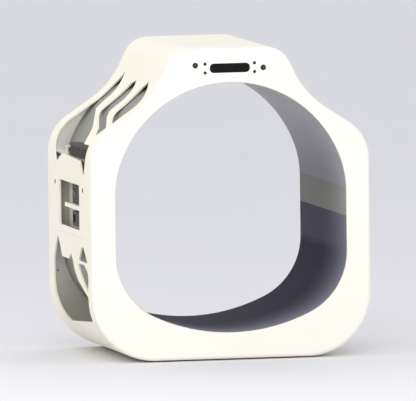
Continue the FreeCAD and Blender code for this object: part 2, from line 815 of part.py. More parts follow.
def make_shoulder_equipment():
    make_rail("left_rail", True)
    make_rail("right_rail", False)
    bottom = size("rail_height") + size("rail_wall")
    top = bottom + size("supply_height")
    inner = size("rail_place")
    outer = inner + size("supply_width")
    front = FRONT + size("supply_place")
    rear = front + size("supply_length")
    supply = block(-outer, -inner, front, rear, bottom, top)
    slots = int(size("supply_length") / 16)
    for n in range(1, slots):
        y = front + n * size("supply_length") / slots
        supply = supply.cut(block(-outer, -outer + 2, y - 3, y + 3, bottom + 8, top - 8))
    shape_part("power_supply", supply)
    terminals = block(-outer + 4, -inner, rear, rear + 36, bottom, bottom + 20)
    for n in range(4):
        y = rear + 5 + 8.5 * n
        terminals = terminals.cut(block(-outer + 4, -inner - 8, y - 2.6, y + 2.6, bottom + 12, bottom + 20))
    shape_part("terminal_block", terminals)
    clip_rear = rear + 62
    clip = block(-outer, -outer + 5, clip_rear - 12, clip_rear, bottom, bottom + 26)
    clip = clip.fuse(block(-outer, -outer + 14, clip_rear - 12, clip_rear, bottom + 22, bottom + 26))
    clip = clip.fuse(block(-outer + 11, -outer + 14, clip_rear - 12, clip_rear, bottom + 14, bottom + 26))
    clip = clip.fuse(block(-outer, -outer + 14, clip_rear - 12, clip_rear, bottom, bottom + 3))
    shape_part("harness_clip", clip.removeSplitter())
    amplifier = block(inner, outer, -size("supply_length") / 2, size("supply_length") / 2, bottom, top)
    for n in range(1, slots):
        y = (n / slots - 0.5) * size("supply_length")
        amplifier = amplifier.cut(block(outer - 7, outer, y - 4.5, y + 4.5, bottom, top))
    shape_part("radio_amplifier", amplifier)


# The connector plate behind the window.

PLATE_OUTER = -size("gantry_width") / 2 + size("skin_wall") + size("fit_gap")
PLATE_INNER = PLATE_OUTER + size("plate_recess")
MODULE_FACE = PLATE_OUTER + 4
MODULE_FRONT = FRONT + size("front_rim") + size("window_inset") + 6


def make_connector_plate():
    """A bent plate whose ends lie on the side panel and whose middle stands back from the window."""
    (front, height), (rear, height) = side_screws()
    wall = size("plate_wall")
    run = 24
    path = [
        (PLATE_OUTER, front - 16), (PLATE_OUTER, front + 16), (PLATE_INNER, front + 16 + run),
        (PLATE_INNER, rear - 16 - run), (PLATE_OUTER, rear - 16), (PLATE_OUTER, rear + 14),
    ]
    back = [(x + wall, y) for x, y in path]
    bottom = size("window_bottom") - 8
    top = size("window_bottom") + size("window_height") + 8
    corners = path + back[::-1]
    section = Part.Face(Part.makePolygon([V(x, y, bottom + BASE) for x, y in corners + corners[:1]]))
    plate = section.extrude(V(0, 0, top - bottom))
    for y, z in side_screws():
        nut = Part.makeCylinder(5, 4, V(PLATE_OUTER + wall, y, z + BASE), V(1, 0, 0))
        hole = Part.makeCylinder(size("screw_hole") / 2, 12, V(PLATE_OUTER - 1, y, z + BASE), V(1, 0, 0))
        plate = plate.fuse(nut).cut(hole)
    shape_part("connector_plate", plate.removeSplitter())


def socket(y, z, half_length, half_height, pins):
    """A socket's recess in the face of a module, and the round pins that stand in it."""
    depth = size("socket_depth")
    recess = block(MODULE_FACE, MODULE_FACE + depth, y - half_length, y + half_length, z - half_height, z + half_height)
    stems = [
        Part.makeCylinder(1.6, depth - 6, V(MODULE_FACE + 6, y + dy, z + dz + BASE), V(1, 0, 0)) for dy, dz in pins
    ]
    return recess, stems


def make_modules():
    """The power inlet with its rocker switch in the upper light, and the data connector in the lower one."""
    tab = size("window_bottom") + (size("window_height") - size("window_tab_height")) / 2 - size("window_tab_drop")
    inlet_bottom = tab + size("window_tab_height") + 2
    inlet = block(MODULE_FACE, PLATE_INNER, MODULE_FRONT, MODULE_FRONT + size("inlet_length"), inlet_bottom,
                  inlet_bottom + size("inlet_height"))
    middle = inlet_bottom + size("inlet_height") / 2
    recess, pins = socket(MODULE_FRONT + 26, middle, 16, 11, [(-8, -3), (0, 3), (8, -3)])
    inlet = inlet.cut(recess).fuse(pins)
    rocker_y = MODULE_FRONT + size("inlet_length") - 18
    half = size("rocker_width") / 2 + size("fit_gap")
    inlet = inlet.cut(block(MODULE_FACE, MODULE_FACE + size("socket_depth"), rocker_y - half, rocker_y + half,
                            middle - 14, middle + 14))
    pivot = V(MODULE_FACE + 6, 0, middle + BASE)
    hole = Part.makeCylinder(size("rocker_pin_hole") / 2, 2 * half + 4, pivot + V(0, rocker_y - half - 2, 0), V(0, 1, 0))
    shape_part("power_inlet", inlet.cut(hole).removeSplitter())
    outline_points = [(-7, 12.5), (-5.5, 0), (-7, -12.5), (4, -9), (6.5, 0), (4, 9)]
    face = Part.Face(Part.makePolygon([
        pivot + V(x, rocker_y - half + size("fit_gap"), z) for x, z in outline_points + outline_points[:1]
    ]))
    rocker = face.extrude(V(0, size("rocker_width"), 0))
    pin = Part.makeCylinder(size("rocker_pin") / 2, 2 * half + 3.4, pivot + V(0, rocker_y - half - 1.7, 0), V(0, 1, 0))
    rocker = rocker.fuse(pin).removeSplitter()
    rocker.rotate(pivot, V(0, 1, 0), -size("rocker_tilt"))
    shape_part("power_rocker", rocker)
    bottom = size("window_bottom") + 6
    data = block(MODULE_FACE, PLATE_INNER, MODULE_FRONT, MODULE_FRONT + size("inlet_length"), bottom,
                 bottom + size("data_height"))
    for y in (MODULE_FRONT + 21, MODULE_FRONT + size("inlet_length") - 21):
        recess, pins = socket(y, bottom + size("data_height") / 2, 15, 12,
                              [(dy, dz) for dy in (-9, -3, 3, 9) for dz in (-5, 5)])
        data = data.cut(recess).fuse(pins)
    shape_part("data_connector", data.removeSplitter())
    shape_part("side_screws", Part.makeCompound([side_screw(y, z) for y, z in side_screws()]))


# The positioning light and the two push buttons in the front of the crown.

def make_front_controls():
    plate_back = FRONT + size("skin_wall")
    half = size("aperture_length") / 2 - size("fit_gap")
    rise = size("aperture_height") / 2 - size("fit_gap")
    centre = size("aperture_centre")
    lens = new_body("light_window")
    pad(lens, "XZ_Plane", [rectangle(-half, centre - rise, half, centre + rise, 0.9 * rise)],
        "skin_wall - fit_gap", "gantry_depth / 2 - skin_wall")
    across = size("aperture_screw_span") / 2 + 7
    module = block(-across, across, plate_back, plate_back + 3, centre - 18, centre + 18)
    module = module.fuse(block(-half, half, plate_back + 3, FRONT_FRAME - 3, centre - 15, centre + 15))
    for x, z in aperture_screws():
        module = module.cut(rod(x, z, plate_back - 1, FRONT_FRAME, size("small_screw_hole")))
    shape_part("light_module", module.removeSplitter())
    shape_part("light_screws", Part.makeCompound([
        screw(x, z, FRONT + 2 * size("fit_gap"), plate_back + 8, size("small_head_diameter"),
              size("skin_wall") - 2 * size("fit_gap"), size("small_screw_diameter"))
        for x, z in aperture_screws()
    ]))
    for side_name, (x, z) in zip(("left", "right"), button_places()):
        housing = rod(x, z, plate_back, plate_back + 16, 22).cut(
            rod(x, z, plate_back, plate_back + 12, size("button_guide")))
        shape_part(f"{side_name}_button_housing", housing)
        cap = rod(x, z, FRONT + 0.2, plate_back + 5, size("button_diameter"))
        edge = [e for e in cap.Edges if abs(e.BoundBox.YMax - FRONT - 0.2) < 1e-6]
        shape_part(f"{side_name}_button", cap.makeFillet(1.0, edge))


# The board and the two fans in the crown.

def make_crown_equipment():
    wall = size("tray_wall")
    low = size("tray_height")
    fan_front = DRUM_REAR - size("fan_depth")
    tray = doc.addObject("Part::Box", "board_tray")
    bind(tray, Length="board_width + 16",
         Width="gantry_depth - 2 * skin_wall - 2 * boss_length - 2 * frame_wall - fan_depth",
         Height="tray_wall", Placement__Base__x="0 - board_width / 2 - 8",
         Placement__Base__y="skin_wall + boss_length + frame_wall - gantry_depth / 2",
         Placement__Base__z="foot_height + tray_height")
    keep(tray, "board_tray")
    board_low = low + wall + size("standoff_height")
    half = size("board_width") / 2
    front = DRUM_FRONT + 50
    rear = front + size("board_length")
    corners = [(x, y) for x in (8 - half, half - 8) for y in (front + 8, rear - 8)]
    shape_part("board_standoffs", Part.makeCompound([
        Part.makeCylinder(3, size("standoff_height"), V(x, y, low + wall + BASE)) for x, y in corners
    ]))
    board = block(-half, half, front, rear, board_low, board_low + size("board_wall"))
    shape_part("control_board", board)
    face = board_low + size("board_wall")
    chips = []
    for x, y, length, width, tall in (
        (-50, 60, 36, 36, 3), (0, 60, 28, 28, 2), (50, 60, 22, 22, 2), (-50, 150, 30, 50, 14), (10, 150, 50, 14, 9),
        (55, 150, 14, 14, 12), (-55, 250, 40, 12, 10), (0, 250, 20, 20, 2), (50, 250, 30, 30, 3), (0, 330, 90, 14, 11),
    ):
        chips.append(block(x - length / 2, x + length / 2, front + y - width / 2, front + y + width / 2, face, face + tall))
    shape_part("board_components", Part.makeCompound(chips))
    for side_name, (x, z) in zip(("left", "right"), FAN_CENTRES):
        make_fan(side_name, x, z, fan_front)


def make_fan(side_name, x, z, front):
    """A square fan that blows towards the rear, its motor mount carried on three struts at the front."""
    reach = size("fan_side") / 2
    rear = front + size("fan_depth")
    frame = block(x - reach, x + reach, front, rear, z - reach, z + reach)
    frame = frame.cut(rod(x, z, front, rear, size("fan_bore")))
    for turn in (90, 210, 330):
        strut = Part.makeBox(reach - 1, 2.5, 3, V(0, front, -1.5))
        strut.rotate(V(0, 0, 0), V(0, 1, 0), turn)
        strut.translate(V(x, 0, z + BASE))
        frame = frame.fuse(strut)
    frame = frame.fuse(rod(x, z, front, front + 2.5, 16)).fuse(rod(x, z, front, rear - 4, size("spindle_diameter")))
    shape_part(f"{side_name}_fan_frame", frame.removeSplitter())
    hub_front = front + 3
    hub_rear = rear - 1.5
    rotor = rod(x, z, hub_front, hub_rear, 15)
    for n in range(FAN_BLADES):
        blade = Part.makeBox(size("rotor_diameter") / 2 - 5, 1.2, 10, V(5, -0.6, -5))
        blade.rotate(V(0, 0, 0), V(1, 0, 0), 48)
        blade.rotate(V(0, 0, 0), V(0, 1, 0), 360 * n / FAN_BLADES)
        blade.translate(V(x, (hub_front + hub_rear) / 2, z + BASE))
        rotor = rotor.fuse(blade)
    rotor = rotor.common(rod(x, z, hub_front, hub_rear, size("rotor_diameter")))
    bore_hole = rod(x, z, hub_front, rear - 4 + 0.5, size("spindle_hole"))
    shape_part(f"{side_name}_fan_rotor", rotor.cut(bore_hole).removeSplitter())


def main():
    make_front_cover()
    make_rear_cover()
    make_outer_shell()
    make_lining()
    make_core()
    make_fasteners()
    make_feet()
    make_shoulder_equipment()
    make_connector_plate()
    make_modules()
    make_front_controls()
    make_crown_equipment()
    doc.recompute()
    for thing in doc.Objects:
        if "Invalid" in thing.State or "Error" in thing.State:
            raise ValueError(f"{thing.Name} failed: {thing.State}")
    for part in PARTS:
        if part.Shape.isNull() or not part.Shape.isValid():
            raise ValueError(f"{part.Label} has no valid shape")
    os.makedirs("parts", exist_ok=True)
    for part in PARTS:
        part.Shape.exportStep(f"parts/{part.Label}.step")
        box = part.Shape.optimalBoundingBox()
        low = [round(value, 1) for value in (box.XMin, box.YMin, box.ZMin)]
        high = [round(value, 1) for value in (box.XMax, box.YMax, box.ZMax)]
        print(part.Label, len(part.Shape.Solids), "solids from", low, "to", high)


main()
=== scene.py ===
# %% [markdown]
# # A ring-shaped scanner gantry
#
# The gantry is a hollow ivory housing round a wide patient bore. Its shape, its size and its moving pieces
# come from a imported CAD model, which is the fixed frame of this scene: nothing here moves or reshapes it.
# What this lesson adds is the look: the camera, the light, a finish for every piece, and the small hardware
# that repeats.
#
# Everything is in metres. X runs to the right, Y from front to back and Z up, with the floor at zero.

# %% Load the frame
import bpy
import math
from mathutils import Matrix, Vector


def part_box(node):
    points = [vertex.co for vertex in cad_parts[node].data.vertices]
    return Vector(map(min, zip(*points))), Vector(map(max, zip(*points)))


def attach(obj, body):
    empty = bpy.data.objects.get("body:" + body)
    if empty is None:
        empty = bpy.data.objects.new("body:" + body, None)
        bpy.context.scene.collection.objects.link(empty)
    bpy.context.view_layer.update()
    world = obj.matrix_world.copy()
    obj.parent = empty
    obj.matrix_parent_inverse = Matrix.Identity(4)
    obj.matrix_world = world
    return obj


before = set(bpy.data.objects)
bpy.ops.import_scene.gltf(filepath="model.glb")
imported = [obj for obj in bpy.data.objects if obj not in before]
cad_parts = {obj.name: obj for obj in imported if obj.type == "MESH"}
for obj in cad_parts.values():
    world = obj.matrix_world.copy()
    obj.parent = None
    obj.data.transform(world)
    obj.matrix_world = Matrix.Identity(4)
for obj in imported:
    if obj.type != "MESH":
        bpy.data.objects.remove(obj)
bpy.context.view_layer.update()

# %% [markdown]
# ## The camera
#
# A very long lens from far away keeps parallel edges parallel, as in a technical drawing. The camera is
# placed by the angles it looks along. An azimuth of zero looks straight at the front, and a negative one
# comes round to the left side. Its rotation is the turn about Z, then the tilt, then a small roll about its
# own line of sight. Last it slides a little aside and down, which sets the gantry off the middle of the view.

# %% Place the camera
CENTRE = Vector((0.0, 0.0, 0.464))
AZIMUTH, ELEVATION, ROLL = math.radians(-13.048), math.radians(4.622), math.radians(-0.687)
DISTANCE = 50.0
SLIDE_ASIDE, SLIDE_UP = -0.0012, -0.0132
FOCAL_LENGTH_MM, SENSOR_MM = 1456.0, 36.0


def look_along(azimuth, elevation, roll):
    turn = Matrix.Rotation(azimuth, 4, "Z") @ Matrix.Rotation(math.pi / 2 - elevation, 4, "X")
    return turn @ Matrix.Rotation(roll, 4, "Z")


lens = bpy.data.cameras.new("camera")
lens.lens = FOCAL_LENGTH_MM
lens.sensor_width = SENSOR_MM
lens.clip_start = 0.5 * DISTANCE
lens.clip_end = 4 * DISTANCE
camera = bpy.data.objects.new("camera", lens)
bpy.context.scene.collection.objects.link(camera)
aim = look_along(AZIMUTH, ELEVATION, ROLL)
camera.matrix_world = Matrix.Translation(CENTRE + aim @ Vector((SLIDE_ASIDE, SLIDE_UP, DISTANCE))) @ aim
bpy.context.scene.camera = camera
print("camera at", [round(value, 2) for value in camera.matrix_world.translation])

# %% [markdown]
# ## Floor and light
#
# The room is a studio with a white sweep: one very wide floor, a pale sky that lights everything softly,
# and large soft lamps. The front lamp is the strongest, so the front cover is the brightest thing in view,
# helped by a paler copy of the ivory painted on it as light, and the side panel is a little creamier. The
# bore falls off into its own shade, deepened by painted shade in its lining. The standard view keeps
# colours as they are set.

# %% Set the view and the sky
bpy.context.scene.view_settings.view_transform = "Standard"


def srgb(red, green, blue):
    """A colour as a designer reads it, from 0 to 255, turned into the linear one of a shader."""
    def linear(value):
        share = value / 255
        return share / 12.92 if share <= 0.04045 else ((share + 0.055) / 1.055) ** 2.4
    return (linear(red), linear(green), linear(blue), 1.0)


sky = bpy.data.worlds.new("sky")
sky.use_nodes = True
sky.node_tree.nodes["Background"].inputs["Color"].default_value = srgb(241, 242, 247)
sky.node_tree.nodes["Background"].inputs["Strength"].default_value = 0.98
bpy.context.scene.world = sky
print("sky ready")


# %% Hang the lamps
def lamp(name, place, width, height, watts, tint):
    """A soft rectangular lamp that faces the gantry's middle."""
    light = bpy.data.lights.new(name, "AREA")
    light.shape = "RECTANGLE"
    light.size, light.size_y = width, height
    light.energy = watts
    light.color = srgb(*tint)[:3]
    hung = bpy.data.objects.new(name, light)
    facing = (CENTRE - Vector(place)).to_track_quat("-Z", "Y").to_matrix().to_4x4()
    hung.matrix_world = Matrix.Translation(place) @ facing
    bpy.context.scene.collection.objects.link(hung)
    print(name, watts, "W")


lamp("front_lamp", (-0.9, -4.2, 2.2), 2.6, 2.0, 62, (255, 253, 250))
lamp("left_lamp", (-3.2, -0.8, 2.6), 2.4, 2.0, 22, (255, 252, 242))
lamp("top_lamp", (0.0, 0.2, 3.6), 2.6, 2.6, 6, (250, 252, 255))


# %% [markdown]
# ## Writing a shader as sums
#
# A finish is a web of small nodes, and a long web is easier to read as arithmetic. The class below wraps one
# socket, so that an expression such as 0.4 + 0.1 * grain adds its own Math nodes. Every other node comes from
# one method of the finish, which takes the node's type, its settings and what goes into its sockets.

# %% The signal, a socket that can be added and multiplied
class Signal:
    """A socket in a shader that takes part in sums."""

    def __init__(self, finish, socket):
        self.finish, self.socket = finish, socket

    def sum_with(self, operation, first, second):
        return self.finish.node("Math", {"operation": operation}, {0: first, 1: second})

    def __add__(self, other):
        return self.sum_with("ADD", self, other)

    def __sub__(self, other):
        return self.sum_with("SUBTRACT", self, other)

    def __rsub__(self, other):
        return self.sum_with("SUBTRACT", other, self)

    def __mul__(self, other):
        return self.sum_with("MULTIPLY", self, other)

    __radd__ = __add__
    __rmul__ = __mul__


# %% The finish, a material and the nodes behind it
class Finish:
    """One material. Its sockets take plain numbers, or signals that vary over the surface."""

    def __init__(self, name, **steady):
        self.material = bpy.data.materials.new(name)
        self.material.use_nodes = True
        self.tree = self.material.node_tree
        self.surface = self.tree.nodes["Principled BSDF"]
        self.places = self.node("TexCoord", output="Object")
        for socket, value in steady.items():
            label = socket.replace("_", " ").title().replace("Ior", "IOR")
            self.surface.inputs[label].default_value = value

    def node(self, kind, settings=None, sockets=None, output=0):
        """Adds a shader node: its settings first, then the values or signals of its sockets."""
        made = self.tree.nodes.new("ShaderNode" + kind)
        for setting, value in (settings or {}).items():
            setattr(made, setting, value)
        for socket, value in (sockets or {}).items():
            self.feed(made.inputs[socket], value)
        return Signal(self, made.outputs[output])

    def feed(self, socket, value):
        """Links a signal to a socket, or sets the socket to a plain value."""
        if isinstance(value, Signal):
            self.tree.links.new(value.socket, socket)
        else:
            socket.default_value = value

    def set(self, **signals):
        """Feeds sockets of the surface, such as base_color or roughness."""
        for socket, value in signals.items():
            self.feed(self.surface.inputs[socket.replace("_", " ").title()], value)

    def along(self, axis):
        """How far along X, Y or Z a point of the surface lies, in metres."""
        return self.node("SeparateXYZ", {}, {0: self.places}, axis)

    def stretched(self, x, y, z):
        """Object coordinates scaled along each axis, for a grain that runs one way."""
        return self.node("Mapping", {}, {"Vector": self.places, "Scale": (x, y, z)})

    def noise(self, scale, detail=2.0, rough=0.5, where=None):
        return self.node("TexNoise", {}, {
            "Vector": where or self.places, "Scale": scale, "Detail": detail, "Roughness": rough,
        })

    def between(self, signal, low, high):
        """Spreads the part of a signal from low to high over the whole range from 0 to 1."""
        return self.node("MapRange", {"clamp": True}, {"Value": signal, "From Min": low, "From Max": high})

    def mix(self, factor, first, second):
        """A blend of two colours."""
        return self.node("Mix", {"data_type": "RGBA"}, {0: factor, 6: first, 7: second}, 2)

    def height(self, *layers):
        """Bump from layers of (signal, depth in metres), each laid on the one before."""
        normal = None
        for signal, depth in layers:
            sockets = {"Height": signal, "Distance": depth, "Strength": 1.0}
            if normal:
                sockets["Normal"] = normal
            normal = self.node("Bump", {}, sockets)
        self.set(normal=normal)


worn = []


def wear(finish, *names):
    """Puts a finish on CAD pieces, whose own shape is kept."""
    for name in names:
        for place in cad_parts[name].material_slots:
            place.material = finish.material
    worn.extend(names)
    print(finish.material.name, "on", ", ".join(names))


print("shader tools ready")

# %% [markdown]
# ## The floor
#
# The floor is not part of the object. It is nearly white, with the faint unevenness
# of painted board, so that the contact shadow under the gantry stays soft and readable.

# %% Lay the floor
REACH = 60.0
corners = [(-REACH, -REACH, 0), (REACH, -REACH, 0), (REACH, REACH, 0), (-REACH, REACH, 0)]
sweep = bpy.data.meshes.new("floor")
sweep.from_pydata(corners, [], [(0, 1, 2, 3)])
floor = bpy.data.objects.new("floor", sweep)
bpy.context.scene.collection.objects.link(floor)
board = Finish("painted_board", roughness=0.7)
board.set(base_color=board.mix(board.noise(1.5), srgb(227, 227, 230), srgb(230, 229, 231)))
sweep.materials.append(board.material)
print("floor", 2 * REACH, "m wide")

# %% [markdown]
# ## Moulded plastic
#
# The housing is reaction-moulded plastic with a satin paint. A slow drift between two tones and a fine fleck
# feed its colour. A very fine grain from the mould and a shallow ripple, where the skin shrank as it cooled,
# feed the bump. The gloss varies with the grain and with faint smears. Near the floor the colour darkens in
# patches, partly a little dust and partly painted shade.

# %% A satin moulding
# The tone of the patchy darkening near the floor, partly dust and partly painted shade.
DUST_AND_SHADE = srgb(150, 143, 128)
DUST_AND_SHADE_HEIGHT = 0.22
RIPPLE_DEPTH = 0.00012
COARSE = {"grain": 700.0, "depth": 0.00008}
PITTED = {"grain": 500.0, "depth": 0.00012}


def moulding(name, base, shade, gloss, grain=1400.0, depth=0.00004, dust_and_shade=0.0, **steady):
    """A moulded plastic: base and shade are its tones, gloss its middle roughness, dust_and_shade its dust
    and painted shade near the floor.
    """
    finish = Finish(name, **steady)
    drift = finish.noise(2.6, 3.0)
    fleck = finish.noise(900.0, 1.0)
    ripple = finish.noise(11.0, 1.0)
    smear = finish.noise(38.0, 3.0)
    grit = finish.noise(grain, 2.0, 0.6)
    tone = finish.mix(finish.between(drift, 0.35, 0.7), base, shade)
    tone = finish.mix(finish.between(fleck, 0.45, 0.75) * 0.12, tone, shade)
    # Darker in patches towards the floor: partly dust, partly painted shade.
    if dust_and_shade:
        low = 1.0 - finish.between(finish.along("Z"), 0.0, DUST_AND_SHADE_HEIGHT)
        patches = finish.between(finish.noise(34.0, 4.0), 0.42, 0.7)
        tone = finish.mix(low * patches * dust_and_shade, tone, DUST_AND_SHADE)
    finish.set(base_color=tone, roughness=gloss - 0.05 + 0.07 * smear + 0.03 * grit)
    finish.height((ripple, RIPPLE_DEPTH), (grit, depth))
    return finish


ivory = moulding("ivory_moulding", srgb(247, 242, 225), srgb(242, 237, 218), 0.42, dust_and_shade=0.04)
panels = [f"{side}_{level}_panel" for side in ("left", "right") for level in ("lower", "upper")]
wear(ivory, "rear_cover", *panels)
# The front cover wears a paler copy of the same ivory: painted light for the stronger front lamp.
wear(moulding("ivory_front_lit", srgb(247, 244, 233), srgb(244, 241, 229), 0.40, dust_and_shade=0.02), "front_cover")

# %% [markdown]
# ## The lining of the bore
#
# The lining is a glass-fibre laminate with a hard coloured coat, because it has to be stiff and invisible to
# the coils behind it. Hands, blankets and the table polish it along the bore, so its fine scratches run from
# front to back. Its front is painted paler, as painted light from the front. The upper part's cool grey and
# the olive of the strips at table height are painted shade over a pale coat, and the grey pales towards the
# ceiling as painted light. The lower part is nearly black, a little lighter near its top as painted light.

# %% A coated laminate
WEAVE_DEPTH, SCRATCH_DEPTH = 0.00003, 0.00002
# Depths over which the front of the bore is painted paler, as painted light.
MOUTH_LIGHT_START, MOUTH_LIGHT_END = 0.05, -0.30
BARE_LAMINATE = srgb(168, 168, 176)


def lining(name, base, shade, gloss, bare=BARE_LAMINATE, over=None, rise=None, mouth_light=None, **steady):
    """A coat whose two tones are base and shade, scratched to the tone of the bare laminate.

    Over is a painted light tone that it turns to between the two heights of rise, and mouth_light a paler
    tone painted on its front as painted light.
    """
    finish = Finish(name, **steady)
    rub = finish.noise(260.0, 3.0, 0.6, finish.stretched(1.0, 0.02, 1.0))
    weave = finish.noise(620.0, 1.0, 0.5, finish.stretched(1.0, 0.4, 1.0))
    cloud = finish.noise(4.0, 4.0)
    tone = finish.mix(finish.between(cloud, 0.35, 0.7), base, shade)
    # Painted light: between the heights of rise the tone turns to over.
    if over:
        tone = finish.mix(finish.between(finish.along("Z"), *rise), tone, over)
    # Painted light: the front of the bore is painted paler, as light reaching in from the front; rubbed here
    # is that painted light, not wear.
    if mouth_light:
        rubbed = finish.between(finish.along("Y"), MOUTH_LIGHT_START, MOUTH_LIGHT_END)
        tone = finish.mix(rubbed * rubbed, tone, mouth_light)
    tone = finish.mix(finish.between(rub, 0.55, 0.8) * 0.18, tone, bare)
    finish.set(base_color=tone, roughness=gloss + 0.10 * rub - 0.04 * cloud)
    finish.height((weave, WEAVE_DEPTH), (rub, SCRATCH_DEPTH))
    return finish


# The upper grey is painted shade over a pale coat; its paler ceiling and front are painted light.
upper_shaded_coat = lining(
    "upper_lining_painted_shade", srgb(118, 118, 126), srgb(111, 111, 119), 0.45,
    over=srgb(182, 182, 185), rise=(0.53, 0.73), mouth_light=srgb(166, 166, 172),
)
# Its nearly black is its own colour; the lighter over tone near its top and its paler front are painted
# light.
lower_coat = lining(
    "lower_lining_coat", srgb(35, 32, 56), srgb(29, 27, 49), 0.66, bare=srgb(76, 76, 98),
    over=srgb(72, 70, 88), rise=(0.30, 0.325), mouth_light=srgb(138, 137, 152), specular_ior_level=0.15,
)
# The strips' olive is painted shade over a pale coat; their paler front is painted light.
strip_painted_shade = lining("strip_painted_shade", srgb(104, 103, 94), srgb(97, 96, 88), 0.48, mouth_light=srgb(160, 159, 152))
wear(upper_shaded_coat, "bore_liner_upper")
wear(lower_coat, "bore_liner_lower")
wear(strip_painted_shade, "bore_strip_left", "bore_strip_right")

# %% [markdown]
# ## Metal
#
# Three metals show: milled plate for the frames and rails, painted sheet for the drum, the connector plate
# and the equipment cases, and blackened steel for the screws. Milled plate carries the fine parallel lines of
# the cutter. Painted sheet has the orange peel of a sprayed coat, and the drum's belly is painted paler as
# painted light thrown up from below.
# Blackened steel wears back to bright metal where a driver has turned it.

# %% Milled, sprayed and blackened
CUT_DEPTH, PEEL_DEPTH, TURNED_DEPTH = 0.00002, 0.00005, 0.00002
# Heights over which the drum's underside is painted paler, as painted light from below.
BELLY_LIGHT_TOP, BELLY_LIGHT_FOOT = 0.19, 0.09
DUST = srgb(188, 184, 172)


def milled(name, base, shade, lines=(1.0, 1.0, 0.03), gloss=0.34):
    """A milled plate: lines are the scales of its cutter marks along X, Y and Z."""
    finish = Finish(name, metallic=0.85)
    cut = finish.noise(900.0, 2.0, 0.5, finish.stretched(*lines))
    cloud = finish.noise(7.0, 3.0)
    tone = finish.mix(finish.between(cloud, 0.3, 0.7), base, shade)
    tone = finish.mix(finish.between(cut, 0.5, 0.8) * 0.3, tone, shade)
    finish.set(base_color=tone, roughness=gloss + 0.18 * cut - 0.05 * cloud)
    finish.height((cut, CUT_DEPTH))
    return finish


def sprayed(name, base, shade, gloss=0.45, belly_light=None):
    """A sprayed sheet: belly_light is a paler tone painted on its underside, as painted light from below."""
    finish = Finish(name)
    peel = finish.noise(420.0, 2.0)
    cloud = finish.noise(5.0, 4.0)
    dust = finish.between(finish.noise(60.0, 5.0, 0.7), 0.5, 0.75)
    tone = finish.mix(finish.between(cloud, 0.3, 0.7), base, shade)
    # Painted light: the underside pales towards the bottom.
    if belly_light:
        belly_lit_share = finish.between(finish.along("Z"), BELLY_LIGHT_TOP, BELLY_LIGHT_FOOT)
        tone = finish.mix(belly_lit_share * belly_lit_share, tone, belly_light)
    tone = finish.mix(dust * 0.12, tone, DUST)
    finish.set(base_color=tone, roughness=gloss + 0.12 * peel + 0.1 * dust)
    finish.height((peel, PEEL_DEPTH))
    return finish


def blackened(name, base, bare, gloss=0.38):
    """Blackened or tarnished metal, rubbed back to its bare tone in places."""
    finish = Finish(name, metallic=0.9)
    turned = finish.noise(1500.0, 2.0)
    rubbed = finish.between(finish.noise(330.0, 3.0), 0.58, 0.72)
    tone = finish.mix(rubbed * 0.5, base, bare)
    finish.set(base_color=tone, roughness=gloss + 0.16 * turned - 0.08 * rubbed)
    finish.height((turned, TURNED_DEPTH))
    return finish


plate = milled("milled_plate", srgb(242, 242, 236), srgb(232, 232, 226))
bar = milled("rail_bar", srgb(246, 245, 238), srgb(238, 237, 230), (1.0, 0.03, 1.0))
drum_paint = sprayed("drum_paint", srgb(146, 146, 141), srgb(137, 137, 132), belly_light=srgb(250, 249, 238))
screw_steel = blackened("screw_steel", srgb(82, 82, 84), srgb(150, 150, 152))
wear(plate, "front_frame", "rear_frame")
wear(bar, "left_rail", "right_rail", "board_tray")
wear(drum_paint, "magnet_drum")
wear(sprayed("plate_paint", srgb(186, 184, 173), srgb(176, 174, 163), 0.5), "connector_plate")
wear(sprayed("supply_paint", srgb(60, 53, 46), srgb(50, 44, 38), 0.5), "power_supply")
wear(sprayed("amplifier_paint", srgb(44, 45, 47), srgb(36, 37, 39), 0.42), "radio_amplifier")
wear(screw_steel, "front_cover_screws", "rear_cover_screws", "side_screws")
wear(blackened("small_screw_steel", srgb(58, 58, 60), srgb(130, 130, 132)), "light_screws")

# %% [markdown]
# ## Small plastics
#
# Sockets, terminals, fans and button housings are black or grey engineering plastic. They share the moulding
# above, with a coarser grain where a part is textured to hide scratches. The clip is bare nylon, which lets a
# little light in, and the light's lens is polished and very dark, so it reads as a black slot.

# %% Sockets, buttons and the lens
feet = [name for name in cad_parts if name.startswith("foot_")]
lens_black = moulding(
    "lens_black", srgb(12, 12, 14), srgb(9, 9, 11), 0.24, depth=0.000004, specular_ior_level=0.2,
)
clip_nylon = moulding(
    "clip_nylon", srgb(232, 230, 222), srgb(222, 219, 208), 0.4, subsurface_weight=0.15,
)
housing_black = moulding("housing_black", srgb(34, 34, 35), srgb(27, 27, 28), 0.5, **COARSE)
wear(moulding("inlet_black", srgb(52, 51, 46), srgb(44, 43, 39), 0.6, **COARSE), "power_inlet")
wear(moulding("data_black", srgb(54, 53, 48), srgb(46, 45, 41), 0.6, **COARSE), "data_connector")
wear(moulding("rocker_black", srgb(26, 26, 27), srgb(20, 20, 21), 0.22), "power_rocker")
wear(moulding("terminal_black", srgb(40, 38, 34), srgb(32, 30, 28), 0.5, **COARSE), "terminal_block")
wear(clip_nylon, "harness_clip")
wear(moulding("button_grey", srgb(44, 44, 48), srgb(36, 36, 40), 0.34), "left_button", "right_button")
wear(housing_black, "left_button_housing", "right_button_housing", "light_module")
wear(moulding("fan_black", srgb(30, 30, 31), srgb(24, 24, 25), 0.45), "left_fan_frame", "right_fan_frame")
wear(moulding("rotor_black", srgb(38, 38, 40), srgb(30, 30, 32), 0.35), "left_fan_rotor", "right_fan_rotor")
wear(moulding("foot_rubber", srgb(40, 40, 40), srgb(30, 30, 30), 0.75, **PITTED), *feet)
wear(lens_black, "light_window")

# %% [markdown]
# ## Inside the housing
#
# The coils, the magnet and the board are hidden, but a student who takes the model apart will meet them.
# Copper sheet, brown potting resin, nickel-plated blocks and a green board each get the finish of the real
# material.

